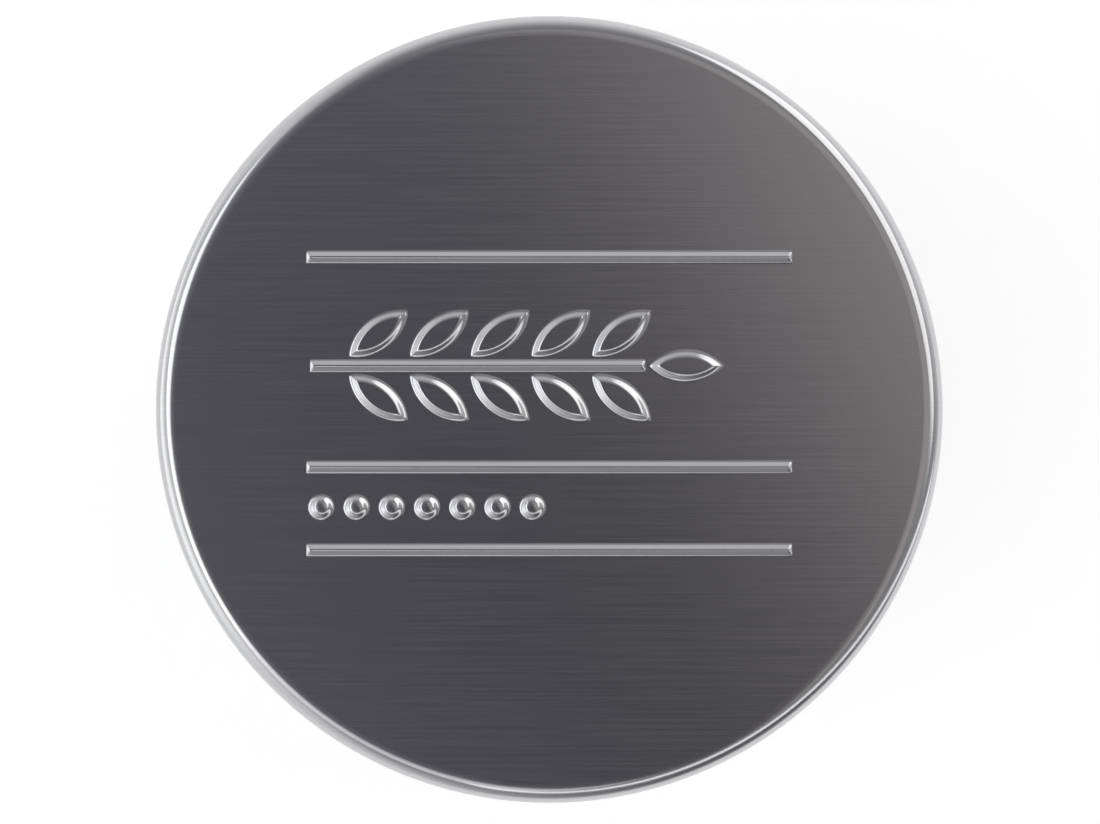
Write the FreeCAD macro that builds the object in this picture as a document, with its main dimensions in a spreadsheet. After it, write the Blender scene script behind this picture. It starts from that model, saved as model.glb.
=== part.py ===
import FreeCAD, Part
import os
import Sketcher

# A spice jar for a table or a rack. A clear pressed glass jar carries a soft silicone ring in a
# groove of its neck. A moulded sifter plate plugs the mouth. The slip-on lid is a drawn steel cap
# over a moulded liner, and a sealing disc under the liner closes the sifter's holes.
# Lengths are in millimetres, +Z is up, the table is z = 0 and the jar's axis is the Z axis.

# Each driving size: its number and what it measures.
DIMENSIONS = {
    "lid_diameter": (65.0, "outside of the steel cap"),
    "lid_corner": (1.32, "outside radius of the cap's rounded shoulder"),
    "sheet": (0.5, "thickness of the steel sheet"),
    "lid_gap": (0.6, "daylight between the cap's edge and the glass shoulder"),
    "hem_reach": (1.0, "how far the cap's bottom edge is turned in under the liner"),
    "emboss_height": (0.28, "how far the embossed pattern stands above the cap"),
    "ridge_width": (0.92, "foot of an embossed line"),
    "ridge_crest": (0.1, "flat top of an embossed line"),
    "rule_length": (40.0, "long embossed lines, centred on the axis"),
    "rule_upper": (12.56, "upper line, from the axis"),
    "rule_middle": (4.75, "middle line, from the axis towards the front"),
    "rule_lower": (11.57, "lower line, from the axis towards the front"),
    "sprig_left": (19.7, "left end of the sprig's stem, from the axis"),
    "sprig_line": (3.6, "stem's centre line, from the axis"),
    "stem_length": (27.6, "stem of the sprig"),
    "leaf_first": (3.2, "first pair of leaves, from the stem's left end"),
    "leaf_pitch": (5.0, "spacing of the pairs of leaves"),
    "leaf_pairs": (5, "number of pairs of leaves"),
    "leaf_length": (6.1, "one leaf from root to tip"),
    "leaf_width": (2.6, "one leaf across"),
    "leaf_angle": (38.0, "lean of a leaf from the stem, degrees"),
    "leaf_gap": (0.3, "bare metal between the stem and a leaf's root"),
    "leaf_wall": (0.5, "sloping edge of a leaf or a dot"),
    "dot_first": (18.8, "first dot of the row, from the axis"),
    "dot_line": (8.05, "row of dots, from the axis towards the front"),
    "dot_pitch": (2.9, "spacing of the dots"),
    "dot_count": (7, "number of dots"),
    "dot_diameter": (2.1, "one dot"),
    "liner_play": (0.2, "liner inside the steel cap, at the side"),
    "liner_head": (0.1, "liner under the steel cap and above its hem"),
    "liner_plate": (1.3, "thickness of the liner's top plate"),
    "liner_corner": (0.9, "rounding of the liner's top edge"),
    "sleeve_play": (0.9, "liner's sleeve outside the glass neck"),
    "sleeve_wall": (1.2, "thickness of the liner's sleeve"),
    "sleeve_lead": (0.5, "chamfer that guides the sleeve over the neck"),
    "rib_count": (16, "ribs between the sleeve and the cap"),
    "rib_wall": (1.0, "thickness of a rib"),
    "wad_thickness": (1.5, "sealing disc under the liner's plate"),
    "wad_play": (0.2, "sealing disc inside the liner's sleeve"),
    "seat_gap": (0.1, "seats where one piece rests on the next"),
    "plate_thickness": (1.6, "sifter's plate and flange"),
    "plate_inset": (0.3, "sifter's flange inside the neck's outer face"),
    "plug_depth": (8.0, "sifter's skirt below the glass rim"),
    "plug_wall": (1.2, "thickness of the sifter's skirt"),
    "plug_play": (0.3, "sifter's skirt inside the mouth"),
    "bead_height": (0.2, "grip beads around the sifter's skirt"),
    "bead_width": (0.8, "one grip bead at its foot"),
    "bead_count": (2, "grip beads down the skirt"),
    "hole_diameter": (3.4, "one sifter hole"),
    "inner_share": (0.3, "inner ring of holes, as part of the mouth's radius"),
    "inner_holes": (6, "holes in the inner ring"),
    "outer_share": (0.6, "outer ring of holes, as part of the mouth's radius"),
    "outer_holes": (12, "holes in the outer ring"),
    "notch_width": (9.0, "fingernail notch under the flange"),
    "notch_reach": (1.4, "how far the notch goes in from the flange's edge"),
    "notch_rise": (0.7, "height of the notch"),
    "body_inset": (0.5, "glass body inside the lid's outside, all round"),
    "body_height": (52.0, "glass body up to the top of its shoulder"),
    "shoulder_width": (4.5, "glass shoulder, from the side in to the neck"),
    "neck_height": (16.0, "glass neck above the shoulder"),
    "neck_wall": (2.9, "thickness of the glass neck"),
    "glass_wall": (2.8, "thickness of the glass side and shoulder"),
    "glass_base": (6.0, "thickness of the glass bottom at its edge"),
    "throat_drop": (4.0, "slope inside from the mouth out to the side wall"),
    "heel_radius": (4.0, "rounding of the bottom edge"),
    "shoulder_radius": (3.0, "rounding of the shoulder"),
    "neck_root": (1.0, "rounding where the neck meets the shoulder"),
    "rim_radius": (1.2, "rounding of the glass rim"),
    "bowl_radius": (6.0, "rounding inside at the bottom"),
    "throat_radius": (3.0, "rounding inside under the shoulder"),
    "foot_width": (9.5, "glass that reaches the table, from the side inwards"),
    "punt_rise": (1.6, "hollow under the bottom"),
    "groove_height": (5.5, "neck groove, from the shoulder"),
    "groove_width": (6.0, "neck groove, up and down"),
    "groove_depth": (0.9, "neck groove, inwards"),
    "ring_play": (0.05, "silicone ring inside its groove"),
    "lip_count": (3, "sealing lips of the ring"),
    "lip_share": (0.6, "part of the ring's height that the lips' feet take"),
    "lip_tip": (0.3, "one lip at its edge"),
    "lip_droop": (0.25, "how far the lips lean down"),
    "lip_play": (0.1, "lips inside the liner's sleeve"),
}

# How near an edge's radius and height must be to the place that is looked for.
EDGE_TOLERANCE = 0.001

doc = FreeCAD.newDocument("SpiceJar")
dims = doc.addObject("Spreadsheet::Sheet", "Dims")
for row, (alias, (value, meaning)) in enumerate(DIMENSIONS.items(), 1):
    dims.set(f"A{row}", meaning)
    dims.set(f"B{row}", str(value))
    dims.setAlias(f"B{row}", alias)
doc.recompute()

# Radii and heights that follow from the driving sizes, as expressions on the sheet.
CAP_R = "Dims.lid_diameter / 2"
BODY_R = f"({CAP_R} - Dims.body_inset)"
NECK_R = f"({BODY_R} - Dims.shoulder_width)"
MOUTH_R = f"({NECK_R} - Dims.neck_wall)"
CHAMBER_R = f"({BODY_R} - Dims.glass_wall)"
FOOT_R = f"({BODY_R} - Dims.foot_width)"
GROOVE_R = f"({NECK_R} - Dims.groove_depth)"
SHOULDER_Z = "Dims.body_height"
THROAT_Z = f"({SHOULDER_Z} - Dims.glass_wall)"
GROOVE_Z = f"({SHOULDER_Z} + Dims.groove_height)"
GROOVE_TOP_Z = f"({GROOVE_Z} + Dims.groove_width)"
RIM_Z = f"({SHOULDER_Z} + Dims.neck_height)"

PLATE_R = f"({NECK_R} - Dims.plate_inset)"
PLUG_R = f"({MOUTH_R} - Dims.plug_play)"
PLATE_Z = f"({RIM_Z} + Dims.seat_gap)"
PLATE_TOP_Z = f"({PLATE_Z} + Dims.plate_thickness)"
PLUG_Z = f"({RIM_Z} - Dims.plug_depth)"

CAP_INNER_R = f"({CAP_R} - Dims.sheet)"
LINER_R = f"({CAP_INNER_R} - Dims.liner_play)"
BORE_R = f"({NECK_R} + Dims.sleeve_play)"
SLEEVE_R = f"({BORE_R} + Dims.sleeve_wall)"
LIP_R = f"({BORE_R} - Dims.lip_play)"
WAD_R = f"({BORE_R} - Dims.wad_play)"
CAP_Z = f"({SHOULDER_Z} + Dims.lid_gap)"
HEM_TOP_Z = f"({CAP_Z} + Dims.sheet)"
LINER_Z = f"({HEM_TOP_Z} + Dims.liner_head)"
WAD_Z = f"({PLATE_TOP_Z} + Dims.seat_gap)"
WAD_TOP_Z = f"({WAD_Z} + Dims.wad_thickness)"
LINER_TOP_Z = f"({WAD_TOP_Z} + Dims.liner_plate)"
CAP_INNER_Z = f"({LINER_TOP_Z} + Dims.liner_head)"
CAP_TOP_Z = f"({CAP_INNER_Z} + Dims.sheet)"


def number(expression):
    """The value an expression on the sheet has now."""
    return float(dims.evalExpression(expression))


def new_body(name):
    body = doc.addObject("PartDesign::Body", name)
    body.Label = name
    return body


def new_sketch(body, name, role, height="0"):
    """A sketch on one of the body's origin planes, lifted along the plane's normal."""
    plane = next(item for item in body.Origin.OriginFeatures if item.Role == role)
    sketch = body.newObject("Sketcher::SketchObject", name)
    sketch.AttachmentSupport = [(plane, "")]
    sketch.MapMode = "FlatFace"
    sketch.setExpression("AttachmentOffset.Base.z", height)
    return sketch


def tie(sketch, geometry, end, across, up):
    """Ties one end of a line or an arc to a place given by two expressions."""
    for kind, axis, expression in (("DistanceX", -2, across), ("DistanceY", -1, up)):
        if expression == "0":
            sketch.addConstraint(Sketcher.Constraint("PointOnObject", geometry, end, axis))
        else:
            distance = Sketcher.Constraint(kind, -1, 1, geometry, end, number(expression))
            index = sketch.addConstraint(distance)
            sketch.setExpression(f"Constraints[{index}]", expression)


def add_outline(sketch, corners):
    """A closed outline of straight lines through corners given as pairs of expressions."""
    first = sketch.GeometryCount
    count = len(corners)
    points = [FreeCAD.Vector(number(across), number(up), 0) for across, up in corners]
    for step in range(count):
        sketch.addGeometry(Part.LineSegment(points[step], points[(step + 1) % count]))
    for step in range(count):
        following = first + (step + 1) % count
        sketch.addConstraint(Sketcher.Constraint("Coincident", first + step, 2, following, 1))
    for step, (across, up) in enumerate(corners):
        tie(sketch, first + step, 1, across, up)


def add_rectangle(sketch, left, right, low, high):
    add_outline(sketch, [(left, low), (right, low), (right, high), (left, high)])


def add_circle(sketch, across, up, diameter):
    centre = FreeCAD.Vector(number(across), number(up), 0)
    normal = FreeCAD.Vector(0, 0, 1)
    circle = sketch.addGeometry(Part.Circle(centre, normal, number(diameter) / 2))
    tie(sketch, circle, 3, across, up)
    size = sketch.addConstraint(Sketcher.Constraint("Diameter", circle, number(diameter)))
    sketch.setExpression(f"Constraints[{size}]", diameter)


def add_leaf(sketch, root, tip):
    """A pointed leaf: two equal arcs between its root and its tip."""
    bulge = "(Dims.leaf_width / 2)"
    radius = f"((Dims.leaf_length ^ 2 / 4 + {bulge} ^ 2) / (2 * {bulge}))"
    start = FreeCAD.Vector(number(root[0]), number(root[1]), 0)
    end = FreeCAD.Vector(number(tip[0]), number(tip[1]), 0)
    middle = (start + end) * 0.5
    along = (end - start).normalize()
    side = FreeCAD.Vector(-along.y, along.x, 0) * number(bulge)
    lower = sketch.addGeometry(Part.Arc(start, middle - side, end))
    upper = sketch.addGeometry(Part.Arc(end, middle + side, start))
    sketch.addConstraint(Sketcher.Constraint("Coincident", lower, 2, upper, 1))
    sketch.addConstraint(Sketcher.Constraint("Coincident", upper, 2, lower, 1))
    tie(sketch, lower, 1, *root)
    tie(sketch, lower, 2, *tip)
    for arc in (lower, upper):
        size = sketch.addConstraint(Sketcher.Constraint("Radius", arc, number(radius)))
        sketch.setExpression(f"Constraints[{size}]", radius)


def turned(body, name, corners):
    """A solid of revolution about Z from a half profile of (radius, height) corners."""
    profile = new_sketch(body, f"{name}_profile", "XZ_Plane")
    add_outline(profile, corners)
    solid = body.newObject("PartDesign::Revolution", name)
    solid.Profile = profile
    solid.ReferenceAxis = (profile, ["V_Axis"])
    solid.Angle = 360
    doc.recompute()
    return solid


def ring_edges(base, places):
    """The names of the circular edges around Z at the given (radius, height) places."""
    wanted = [(number(radius), number(height)) for radius, height in places]
    names = []
    for index, edge in enumerate(base.Shape.Edges, 1):
        if not isinstance(edge.Curve, Part.Circle):
            continue
        centre = edge.Curve.Center
        for radius, height in wanted:
            near = abs(edge.Curve.Radius - radius) < EDGE_TOLERANCE
            if near and abs(centre.z - height) < EDGE_TOLERANCE:
                names.append(f"Edge{index}")
    if len(names) < len(wanted):
        raise RuntimeError(f"{base.Name}: {len(wanted)} edges wanted, {len(names)} found")
    return names


def rounded(body, name, base, radius, places):
    """Rounds the circular edges at the given places."""
    fillet = body.newObject("PartDesign::Fillet", name)
    fillet.Base = (base, ring_edges(base, places))
    fillet.setExpression("Radius", radius)
    doc.recompute()
    return fillet


def chamfered(body, name, base, size, places):
    """Bevels the circular edges at the given places."""
    chamfer = body.newObject("PartDesign::Chamfer", name)
    chamfer.Base = (base, ring_edges(base, places))
    chamfer.setExpression("Size", size)
    doc.recompute()
    return chamfer


def padded(body, sketch, name, length, taper="0"):
    """Raises a sketch; a taper in degrees leans its sides inwards."""
    pad = body.newObject("PartDesign::Pad", name)
    pad.Profile = sketch
    pad.setExpression("Length", length)
    pad.setExpression("TaperAngle", f"-({taper})")
    doc.recompute()
    return pad


def pocketed(body, sketch, name, length, upwards=False):
    """Cuts a sketch into the solid, down from the sketch or up from it."""
    before = body.Tip.Shape.Volume
    pocket = body.newObject("PartDesign::Pocket", name)
    pocket.Profile = sketch
    pocket.setExpression("Length", length)
    pocket.Reversed = upwards
    doc.recompute()
    if pocket.Shape.Volume >= before:
        raise RuntimeError(f"{name} removes nothing")
    return pocket


def spread_in_row(body, name, feature, sketch, spacing, count):
    """Repeats a feature along the sketch's horizontal axis."""
    pattern = body.newObject("PartDesign::LinearPattern", name)
    pattern.Originals = [feature]
    pattern.Direction = (sketch, ["H_Axis"])
    pattern.setExpression("Length", f"{spacing} * ({count} - 1)")
    pattern.setExpression("Occurrences", count)
    body.Tip = pattern
    doc.recompute()
    return pattern


def spread_around(body, name, feature, sketch, count):
    """Repeats a feature around the Z axis."""
    pattern = body.newObject("PartDesign::PolarPattern", name)
    pattern.Originals = [feature]
    pattern.Axis = (sketch, ["N_Axis"])
    pattern.Angle = 360
    pattern.setExpression("Occurrences", count)
    body.Tip = pattern
    doc.recompute()
    return pattern


def build_glass_jar():
    """Pressed glass: thick bottom with a hollow under it, shoulder, grooved neck, round rim."""
    body = new_body("glass_jar")
    slope_z = f"({THROAT_Z} - Dims.throat_drop)"
    glass = turned(body, "Glass", [
        ("0", "Dims.punt_rise"),
        (FOOT_R, "0"),
        (BODY_R, "0"),
        (BODY_R, SHOULDER_Z),
        (NECK_R, SHOULDER_Z),
        (NECK_R, GROOVE_Z),
        (GROOVE_R, GROOVE_Z),
        (GROOVE_R, GROOVE_TOP_Z),
        (NECK_R, GROOVE_TOP_Z),
        (NECK_R, RIM_Z),
        (MOUTH_R, RIM_Z),
        (MOUTH_R, THROAT_Z),
        (CHAMBER_R, slope_z),
        (CHAMBER_R, "Dims.glass_base"),
        ("0", "Dims.glass_base"),
    ])
    glass = rounded(body, "Heel", glass, "Dims.heel_radius", [(BODY_R, "0")])
    glass = rounded(body, "Shoulder", glass, "Dims.shoulder_radius", [(BODY_R, SHOULDER_Z)])
    glass = rounded(body, "NeckRoot", glass, "Dims.neck_root", [(NECK_R, SHOULDER_Z)])
    glass = rounded(body, "Rim", glass, "Dims.rim_radius", [(NECK_R, RIM_Z), (MOUTH_R, RIM_Z)])
    glass = rounded(body, "Bowl", glass, "Dims.bowl_radius", [(CHAMBER_R, "Dims.glass_base")])
    rounded(body, "Throat", glass, "Dims.throat_radius", [(MOUTH_R, THROAT_Z), (CHAMBER_R, slope_z)])
    return body


def build_neck_ring():
    """Silicone ring in the neck groove, with drooping lips that grip the lid's sleeve."""
    body = new_body("neck_ring")
    low = f"({GROOVE_Z} + Dims.ring_play)"
    high = f"({GROOVE_TOP_Z} - Dims.ring_play)"
    inner = f"({GROOVE_R} + Dims.ring_play)"
    pitch = "Dims.groove_width / Dims.lip_count"
    half_foot = f"{pitch} * Dims.lip_share / 2"
    corners = [(inner, low), (NECK_R, low)]
    for lip in range(DIMENSIONS["lip_count"][0]):
        centre = f"({GROOVE_Z} + ({lip} + 0.5) * {pitch})"
        edge = f"({centre} - Dims.lip_droop)"
        corners += [
            (NECK_R, f"{centre} - {half_foot}"),
            (LIP_R, f"{edge} - Dims.lip_tip / 2"),
            (LIP_R, f"{edge} + Dims.lip_tip / 2"),
            (NECK_R, f"{centre} + {half_foot}"),
        ]
    corners += [(NECK_R, high), (inner, high)]
    turned(body, "Ring", corners)
    return body


def build_sifter():
    """Moulded plug: a plate with holes, a flange on the glass rim, a skirt with grip beads."""
    body = new_body("sifter")
    skirt_r = f"({PLUG_R} - Dims.plug_wall)"
    corners = [
        ("0", PLATE_Z),
        (skirt_r, PLATE_Z),
        (skirt_r, PLUG_Z),
        (PLUG_R, PLUG_Z),
    ]
    for bead in range(DIMENSIONS["bead_count"][0]):
        centre = f"({PLUG_Z} + ({bead} + 1) * Dims.plug_depth / (Dims.bead_count + 1))"
        corners += [
            (PLUG_R, f"{centre} - Dims.bead_width / 2"),
            (f"{PLUG_R} + Dims.bead_height", centre),
            (PLUG_R, f"{centre} + Dims.bead_width / 2"),
        ]
    corners += [(PLUG_R, PLATE_Z), (PLATE_R, PLATE_Z), (PLATE_R, PLATE_TOP_Z), ("0", PLATE_TOP_Z)]
    turned(body, "Plug", corners)

    centre_hole = new_sketch(body, "centre_hole", "XY_Plane", PLATE_TOP_Z)
    add_circle(centre_hole, "0", "0", "Dims.hole_diameter")
    pocketed(body, centre_hole, "CentreHole", "Dims.plate_thickness")
    for ring in ("inner", "outer"):
        place = new_sketch(body, f"{ring}_hole", "XY_Plane", PLATE_TOP_Z)
        add_circle(place, f"Dims.{ring}_share * {MOUTH_R}", "0", "Dims.hole_diameter")
        hole = pocketed(body, place, f"{ring}_cut", "Dims.plate_thickness")
        spread_around(body, f"{ring}_ring", hole, place, f"Dims.{ring}_holes")

    notch = new_sketch(body, "notch", "XY_Plane", PLATE_Z)
    half = "Dims.notch_width / 2"
    outside = f"-({PLATE_R} + Dims.notch_reach)"
    add_rectangle(notch, f"-{half}", half, outside, f"-({PLATE_R} - Dims.notch_reach)")
    pocketed(body, notch, "Notch", "Dims.notch_rise", upwards=True)
    return body


def build_lid_liner():
    """Moulded liner: a plate, a sleeve that slides over the neck, ribs out to the steel."""
    body = new_body("lid_liner")
    liner = turned(body, "Liner", [
        ("0", WAD_TOP_Z),
        (BORE_R, WAD_TOP_Z),
        (BORE_R, LINER_Z),
        (SLEEVE_R, LINER_Z),
        (SLEEVE_R, WAD_TOP_Z),
        (LINER_R, WAD_TOP_Z),
        (LINER_R, LINER_TOP_Z),
        ("0", LINER_TOP_Z),
    ])
    liner = chamfered(body, "LeadIn", liner, "Dims.sleeve_lead", [(BORE_R, LINER_Z)])
    rounded(body, "LinerCorner", liner, "Dims.liner_corner", [(LINER_R, LINER_TOP_Z)])

    rib = new_sketch(body, "rib", "XY_Plane", LINER_Z)
    half = "Dims.rib_wall / 2"
    add_rectangle(rib, f"{SLEEVE_R} - Dims.sleeve_wall / 2", LINER_R, f"-{half}", half)
    one = padded(body, rib, "Rib", f"{WAD_TOP_Z} - {LINER_Z}")
    spread_around(body, "Ribs", one, rib, "Dims.rib_count")
    return body


def build_lid_wad():
    """Sealing disc that closes the sifter's holes when the lid is on."""
    body = new_body("lid_wad")
    turned(body, "Wad", [("0", WAD_Z), (WAD_R, WAD_Z), (WAD_R, WAD_TOP_Z), ("0", WAD_TOP_Z)])
    return body


def build_lid_cap():
    """Drawn steel cap with a turned-in hem, embossed with lines, a leaf sprig and dots."""
    body = new_body("lid_cap")
    hem_r = f"({CAP_INNER_R} - Dims.hem_reach)"
    cap = turned(body, "Cap", [
        ("0", CAP_INNER_Z),
        (CAP_INNER_R, CAP_INNER_Z),
        (CAP_INNER_R, HEM_TOP_Z),
        (hem_r, HEM_TOP_Z),
        (hem_r, CAP_Z),
        (CAP_R, CAP_Z),
        (CAP_R, CAP_TOP_Z),
        ("0", CAP_TOP_Z),
    ])
    cap = rounded(body, "CapCorner", cap, "Dims.lid_corner", [(CAP_R, CAP_TOP_Z)])
    rounded(body, "CapHollow", cap, "Dims.lid_corner - Dims.sheet", [(CAP_INNER_R, CAP_INNER_Z)])

    ridge_half = "Dims.ridge_width / 2"
    ridge_taper = "atan((Dims.ridge_width - Dims.ridge_crest) / 2 / Dims.emboss_height)"
    leaf_taper = "atan(Dims.leaf_wall / Dims.emboss_height)"

    lines = new_sketch(body, "lines", "XY_Plane", CAP_TOP_Z)
    rule_half = "Dims.rule_length / 2"
    stem_end = "(Dims.stem_length - Dims.sprig_left)"
    for left, right, line in (
        (f"-{rule_half}", rule_half, "Dims.rule_upper"),
        ("-Dims.sprig_left", stem_end, "Dims.sprig_line"),
        (f"-{rule_half}", rule_half, "-Dims.rule_middle"),
        (f"-{rule_half}", rule_half, "-Dims.rule_lower"),
    ):
        add_rectangle(lines, left, right, f"{line} - {ridge_half}", f"{line} + {ridge_half}")
    padded(body, lines, "Lines", "Dims.emboss_height", ridge_taper)

    end_leaf = new_sketch(body, "end_leaf", "XY_Plane", CAP_TOP_Z)
    root = f"{stem_end} + Dims.leaf_gap"
    add_leaf(end_leaf, (root, "Dims.sprig_line"), (f"{root} + Dims.leaf_length", "Dims.sprig_line"))
    padded(body, end_leaf, "EndLeaf", "Dims.emboss_height", leaf_taper)

    pair = new_sketch(body, "leaf_pair", "XY_Plane", CAP_TOP_Z)
    root = "(Dims.leaf_first - Dims.sprig_left)"
    tip = f"{root} + Dims.leaf_length * cos(Dims.leaf_angle)"
    offset = f"({ridge_half} + Dims.leaf_gap)"
    reach = f"({offset} + Dims.leaf_length * sin(Dims.leaf_angle))"
    for side in ("+", "-"):
        root_line = f"Dims.sprig_line {side} {offset}"
        tip_line = f"Dims.sprig_line {side} {reach}"
        add_leaf(pair, (root, root_line), (tip, tip_line))
    leaves = padded(body, pair, "LeafPair", "Dims.emboss_height", leaf_taper)
    spread_in_row(body, "Leaves", leaves, pair, "Dims.leaf_pitch", "Dims.leaf_pairs")

    dot = new_sketch(body, "dot", "XY_Plane", CAP_TOP_Z)
    add_circle(dot, "-Dims.dot_first", "-Dims.dot_line", "Dims.dot_diameter")
    dots = padded(body, dot, "Dot", "Dims.emboss_height", leaf_taper)
    spread_in_row(body, "Dots", dots, dot, "Dims.dot_pitch", "Dims.dot_count")
    return body


bodies = [
    build_glass_jar(),
    build_neck_ring(),
    build_sifter(),
    build_lid_cap(),
    build_lid_liner(),
    build_lid_wad(),
]
doc.recompute()

for item in doc.Objects:
    if "Invalid" in item.State or "Error" in item.State:
        raise RuntimeError(f"{item.Name} did not recompute: {item.State}")

os.makedirs("parts", exist_ok=True)
for body in bodies:
    shape = body.Shape
    if shape.isNull() or not shape.isValid() or len(shape.Solids) != 1:
        raise RuntimeError(f"{body.Label} is not one valid solid")
    shape.exportStep(f"parts/{body.Label}.step")
    box = shape.optimalBoundingBox(False, False)
    print(f"{body.Label}: {box.XLength:.2f} x {box.YLength:.2f} x {box.ZLength:.2f} mm, "
          f"z {box.ZMin:.2f} to {box.ZMax:.2f}, {shape.Volume / 1000:.2f} cm3")
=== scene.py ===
# %% [markdown]
# # A glass spice jar with an embossed steel lid
#
# The jar stands on a table. From above only its brushed steel lid shows. Under the lid there is a
# moulded liner with a sealing disc, a sifter plate in the jar's mouth, a silicone ring round the
# neck, and the pressed glass itself. Each of them is a piece of its own here.
#
# The solid model of the jar is loaded first. It says where every piece sits, in metres, with the
# table at z = 0 and the jar's axis on the Z axis. Nothing below moves it: each new piece is built
# in the place of one of its nodes. The jar's sizes below are in millimetres, and those of the floor
# and the lamps are in metres.

# %% Load the solid model
import math

import bmesh
import bpy
from mathutils import Matrix, Vector


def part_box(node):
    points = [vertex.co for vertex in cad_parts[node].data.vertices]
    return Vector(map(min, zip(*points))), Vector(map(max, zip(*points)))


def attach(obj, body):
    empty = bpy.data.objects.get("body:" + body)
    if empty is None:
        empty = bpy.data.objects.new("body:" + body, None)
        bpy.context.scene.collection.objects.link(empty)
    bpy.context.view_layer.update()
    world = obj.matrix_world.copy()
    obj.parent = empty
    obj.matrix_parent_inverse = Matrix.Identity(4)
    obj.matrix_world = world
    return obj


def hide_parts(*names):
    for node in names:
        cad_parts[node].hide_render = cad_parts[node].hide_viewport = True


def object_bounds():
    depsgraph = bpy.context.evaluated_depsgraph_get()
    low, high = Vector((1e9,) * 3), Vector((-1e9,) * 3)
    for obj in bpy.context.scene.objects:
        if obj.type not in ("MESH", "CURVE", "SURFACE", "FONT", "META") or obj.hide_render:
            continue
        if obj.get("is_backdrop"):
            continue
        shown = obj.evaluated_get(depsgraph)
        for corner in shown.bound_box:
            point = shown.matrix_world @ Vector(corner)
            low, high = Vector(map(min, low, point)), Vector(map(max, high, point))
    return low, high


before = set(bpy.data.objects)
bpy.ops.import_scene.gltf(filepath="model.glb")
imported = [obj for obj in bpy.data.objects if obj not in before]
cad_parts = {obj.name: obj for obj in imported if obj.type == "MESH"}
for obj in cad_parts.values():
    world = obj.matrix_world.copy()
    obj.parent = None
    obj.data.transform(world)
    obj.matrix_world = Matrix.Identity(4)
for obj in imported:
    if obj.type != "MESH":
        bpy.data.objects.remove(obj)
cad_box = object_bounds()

MM = 0.001
scene = bpy.context.scene


def in_mm(box):
    """A box's two corners in millimetres, for printing."""
    return [tuple(round(value / MM, 2) for value in corner) for corner in box]


print("solid model box:", in_mm(cad_box))

# %% [markdown]
# ## The camera
#
# The lid is seen from straight above, so that its side never shows. A long lens on a stand does
# this on a real set. The lens here is worked out from the picture: the frame is 1100 pixels wide,
# and the lid takes 787 of them. The lid sits a few pixels off the middle of the frame, and the
# camera is moved aside by that much, which is simpler than a lens shift and does no harm in other
# views.

# %% Camera
LID_R = 32.5
FRAME_PIXELS = 1100
LID_PIXELS = 786.9
LID_OFF_CENTRE = (-0.7, 2.5)
CAMERA_HEIGHT = 640.0
WIDEST_HEIGHT = 71.8
SENSOR_WIDTH = 36.0
CLIP_METRES = (0.01, 20.0)

mm_per_pixel = 2 * LID_R / LID_PIXELS
camera_data = bpy.data.cameras.new("overhead_camera")
camera_data.sensor_width = SENSOR_WIDTH
camera_data.lens = SENSOR_WIDTH * (CAMERA_HEIGHT - WIDEST_HEIGHT) / (FRAME_PIXELS * mm_per_pixel)
camera_data.clip_start, camera_data.clip_end = CLIP_METRES
camera = bpy.data.objects.new("overhead_camera", camera_data)
camera.location = (
    -LID_OFF_CENTRE[0] * mm_per_pixel * MM,
    -LID_OFF_CENTRE[1] * mm_per_pixel * MM,
    CAMERA_HEIGHT * MM,
)
scene.collection.objects.link(camera)
scene.camera = camera
print(f"lens {camera_data.lens:.1f} mm, scale {mm_per_pixel:.4f} mm per pixel")

# %% [markdown]
# ## Turning a profile
#
# Nearly every piece of this jar is round: pressed, drawn or moulded about one axis. Each could be
# made from stacked cylinders, but then every edge would be sharp. Here the half section is drawn
# as a chain of edges, its corners are rounded with a vertex bevel, and the chain is spun round the
# axis. That is how a lathe works, and one list of corners holds the whole shape.

# %% Drawing a section
ARC_STEPS_PER_MM = 14
FEWEST_ARC_STEPS, MOST_ARC_STEPS = 4, 20


def arc_steps(rounding):
    """How many edges a rounded corner gets."""
    return max(FEWEST_ARC_STEPS, min(MOST_ARC_STEPS, round(ARC_STEPS_PER_MM * rounding)))


def section(corners, closed=False):
    """A chain of edges in the XZ plane from (radius, height, rounding) corners."""
    bm = bmesh.new()
    places = [Vector((radius, 0, height)) * MM for radius, height, _ in corners]
    verts = [bm.verts.new(place) for place in places]
    links = list(zip(verts, verts[1:])) + ([(verts[-1], verts[0])] if closed else [])
    for link in links:
        bm.edges.new(link)
    for index, (_, _, rounding) in enumerate(corners):
        if not rounding:
            continue
        before, after = places[index - 1], places[(index + 1) % len(places)]
        bend = (places[index] - before).angle(after - places[index])
        bmesh.ops.bevel(
            bm, geom=[verts[index]], offset=rounding * MM * math.tan(bend / 2),
            offset_type="OFFSET", segments=arc_steps(rounding), profile=0.5, affect="VERTICES",
            clamp_overlap=False, material=-1,
        )
    return bm


print("a corner rounded by 1 mm gets", arc_steps(1.0), "edges")

# %% Turning a section
SEGMENTS = 256
SMALL_SEGMENTS = 160
TINY = 0.0001 * MM


def turn(bm, segments=SEGMENTS):
    """Spins a section once round the Z axis and closes the seam."""
    bmesh.ops.spin(
        bm, geom=bm.verts[:] + bm.edges[:], cent=(0, 0, 0), axis=(0, 0, 1), dvec=(0, 0, 0),
        angle=math.tau, steps=segments, use_merge=True, use_duplicate=False,
    )
    bmesh.ops.remove_doubles(bm, verts=bm.verts[:], dist=TINY)
    bmesh.ops.recalc_face_normals(bm, faces=bm.faces[:])
    return bm


print(f"a turn has {SEGMENTS} steps, or {SMALL_SEGMENTS} on small pieces")

# %% Copying a shape and filling a sheet
NEAR = 0.001 * MM


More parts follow.
